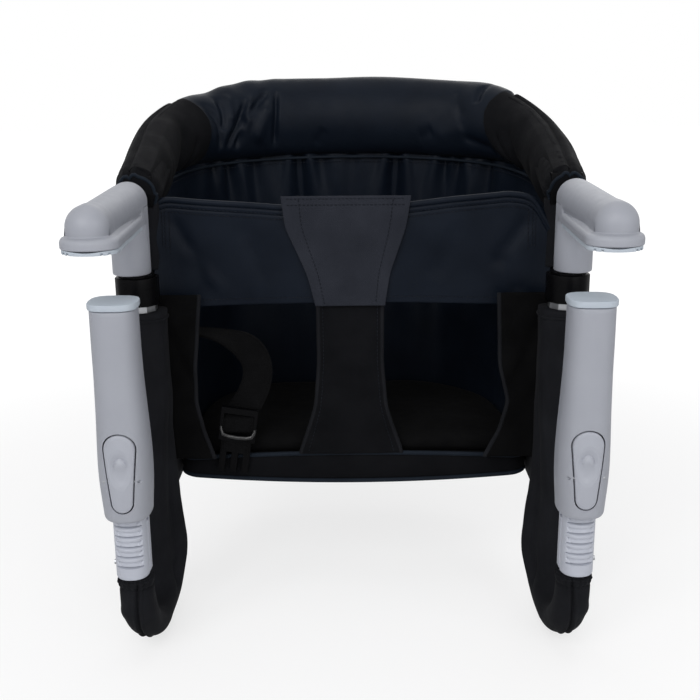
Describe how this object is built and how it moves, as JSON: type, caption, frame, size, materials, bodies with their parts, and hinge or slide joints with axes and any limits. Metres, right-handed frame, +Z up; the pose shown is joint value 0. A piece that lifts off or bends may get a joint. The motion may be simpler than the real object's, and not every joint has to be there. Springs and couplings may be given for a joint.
{
  "type": "hook on table chair",
  "caption": "Child's fabric tub seat hung from two C-shaped arms that clamp over a table edge, with sliding ratchet clamps and sprung release levers.",
  "frame": {"origin": "on the table's top face at its edge, midway between the two arms", "axes": "+Z up, -Y onto the table, +Y towards the seat's back, +X to the right as seen from the table"},
  "size_m": [0.393, 0.3738, 0.4326],
  "materials": {
    "grey_plastic": "fine matte moulded texture",
    "black_plastic": "satin moulded",
    "pad_rubber": "soft matte",
    "steel": "plain tube",
    "outer_fabric": "matte woven polyester",
    "lining_fabric": "smooth satin-faced polyester",
    "webbing": "flat woven webbing"
  },
  "bodies": {
    "seat": {"hoop_tube": "steel", "rim_sleeve": "outer_fabric", "tub_shell": "outer_fabric", "tub_lining": "lining_fabric", "headrest_band": "lining_fabric", "seat_pan": "outer_fabric", "seat_pad": "lining_fabric", "front_panel": "outer_fabric", "front_flap": "outer_fabric", "crotch_panel": "outer_fabric", "belt_left": "webbing", "buckle_male": "black_plastic", "belt_right": "webbing", "buckle_female": "black_plastic", "left_swivel_bush": "black_plastic", "left_hoop_bracket": "black_plastic", "left_leg_sleeve": "outer_fabric", "left_side_gusset": "outer_fabric", "right_swivel_bush": "black_plastic", "right_hoop_bracket": "black_plastic", "right_leg_sleeve": "outer_fabric", "right_side_gusset": "outer_fabric"},
    "left_arm": {"left_arm_tube": "steel", "left_arm_cover": "grey_plastic", "left_column_cover": "grey_plastic", "left_arm_pad": "pad_rubber", "left_cover_screw": "steel", "left_ratchet_rod": "grey_plastic", "left_rod_bolt": "steel", "left_rod_plug": "black_plastic", "left_boot": "outer_fabric", "left_leg_collar": "steel"},
    "left_clamp": {"left_clamp_sleeve": "grey_plastic", "left_clamp_pad": "pad_rubber", "left_lever_pin": "steel", "left_lever_spring": "steel"},
    "left_lever": {"left_release_lever": "grey_plastic"},
    "right_arm": {"right_arm_tube": "steel", "right_arm_cover": "grey_plastic", "right_column_cover": "grey_plastic", "right_arm_pad": "pad_rubber", "right_cover_screw": "steel", "right_ratchet_rod": "grey_plastic", "right_rod_bolt": "steel", "right_rod_plug": "black_plastic", "right_boot": "outer_fabric", "right_leg_collar": "steel"},
    "right_clamp": {"right_clamp_sleeve": "grey_plastic", "right_clamp_pad": "pad_rubber", "right_lever_pin": "steel", "right_lever_spring": "steel"},
    "right_lever": {"right_release_lever": "grey_plastic"}
  },
  "joints": [
    {"name": "left_arm_swing", "type": "hinge", "parent": "seat", "child": "left_arm", "pos_m": [-0.1705, 0.02, 0], "axis": [0, 0, 1], "range_deg": [0, 90]},
    {"name": "left_clamp_slide", "type": "slide", "parent": "left_arm", "child": "left_clamp", "axis": [0, 0, 1], "range_m": [-0.035, 0.02]},
    {"name": "left_lever_press", "type": "hinge", "parent": "left_clamp", "child": "left_lever", "pos_m": [-0.1705, -0.0848, -0.171], "axis": [-1, 0, 0], "range_deg": [0, 6], "stiffness_Nm_per_rad": 0.5, "springref_deg": -5.73},
    {"name": "right_arm_swing", "type": "hinge", "parent": "seat", "child": "right_arm", "pos_m": [0.1705, 0.02, 0], "axis": [0, 0, -1], "range_deg": [0, 90]},
    {"name": "right_clamp_slide", "type": "slide", "parent": "right_arm", "child": "right_clamp", "axis": [0, 0, 1], "range_m": [-0.035, 0.02]},
    {"name": "right_lever_press", "type": "hinge", "parent": "right_clamp", "child": "right_lever", "pos_m": [0.1705, -0.0848, -0.171], "axis": [-1, 0, 0], "range_deg": [0, 6], "stiffness_Nm_per_rad": 0.5, "springref_deg": -5.73}
  ]
}
